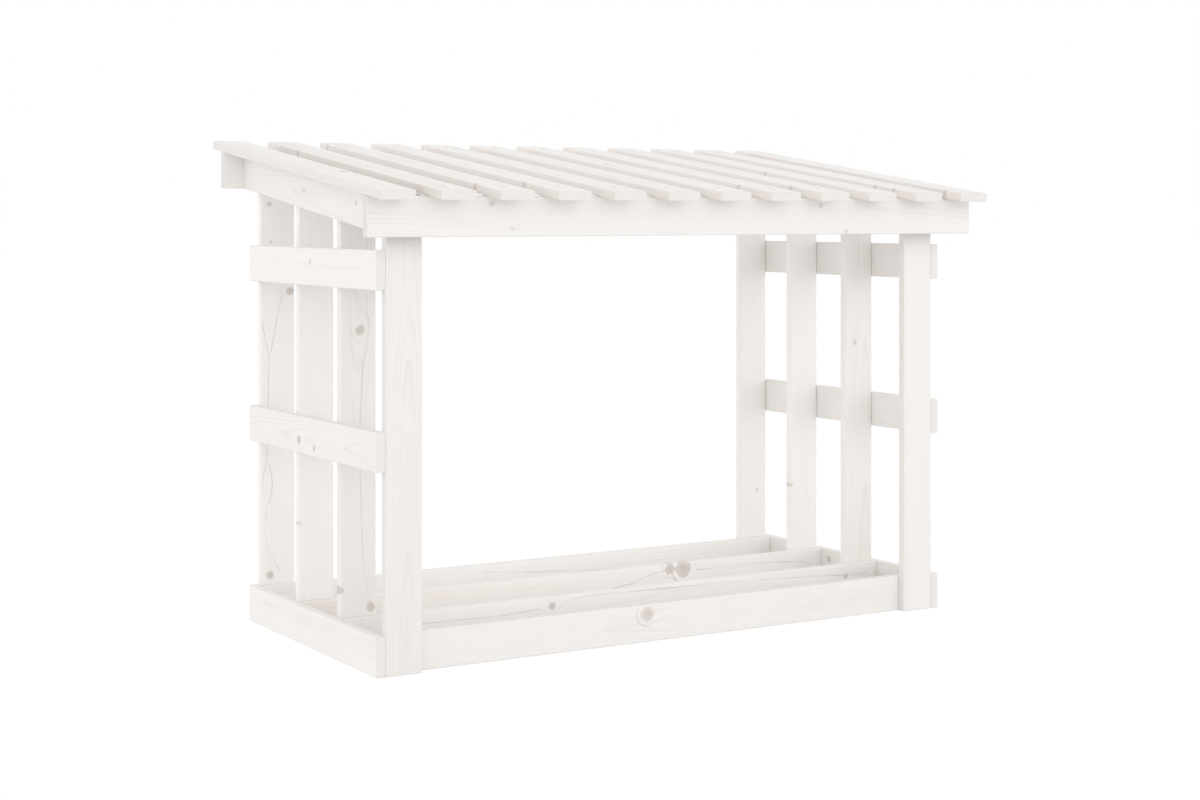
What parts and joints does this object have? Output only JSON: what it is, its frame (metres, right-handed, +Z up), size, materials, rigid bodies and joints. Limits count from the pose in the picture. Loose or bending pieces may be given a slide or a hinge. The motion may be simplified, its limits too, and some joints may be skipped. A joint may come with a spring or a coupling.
{
  "type": "firewood rack",
  "caption": "Low free-standing firewood rack of white-stained pine boards, open at the front and back, with slatted sides, a base of boards on edge that the logs lie on, and a sloping slatted lean-to roof.",
  "frame": {"origin": "on the ground, under the middle of the roof's plan outline", "axes": "+Z up, +X along the rack's length to the right seen from the front, +Y to the back, so the open front and the roof's low edge face -Y"},
  "size_m": [1.08, 0.6412, 0.7678],
  "materials": {
    "white_stained_pine": "thin white stain, matt, knots and grain showing",
    "beech": "bare, turned",
    "zinc_plated_steel": "zinc plated"
  },
  "bodies": {
    "root": {"left_base_board": "white_stained_pine", "right_base_board": "white_stained_pine", "front_base_board": "white_stained_pine", "back_base_board": "white_stained_pine", "log_bearer_1": "white_stained_pine", "log_bearer_2": "white_stained_pine", "left_front_post": "white_stained_pine", "left_side_board_1": "white_stained_pine", "left_side_board_2": "white_stained_pine", "left_back_post": "white_stained_pine", "right_front_post": "white_stained_pine", "right_side_board_1": "white_stained_pine", "right_side_board_2": "white_stained_pine", "right_back_post": "white_stained_pine", "left_middle_rail": "white_stained_pine", "left_upper_rail": "white_stained_pine", "right_middle_rail": "white_stained_pine", "right_upper_rail": "white_stained_pine", "left_rafter": "white_stained_pine", "right_rafter": "white_stained_pine", "front_fascia": "white_stained_pine", "back_header": "white_stained_pine", "roof_slat_01": "white_stained_pine", "roof_slat_02": "white_stained_pine", "roof_slat_03": "white_stained_pine", "roof_slat_04": "white_stained_pine", "roof_slat_05": "white_stained_pine", "roof_slat_06": "white_stained_pine", "roof_slat_07": "white_stained_pine", "roof_slat_08": "white_stained_pine", "roof_slat_09": "white_stained_pine", "roof_slat_10": "white_stained_pine", "roof_slat_11": "white_stained_pine", "roof_slat_12": "white_stained_pine", "left_side_dowels": "beech", "right_side_dowels": "beech", "fascia_dowels": "beech", "roof_screws": "zinc_plated_steel", "base_screws": "zinc_plated_steel", "header_screws": "zinc_plated_steel"}
  },
  "joints": []
}
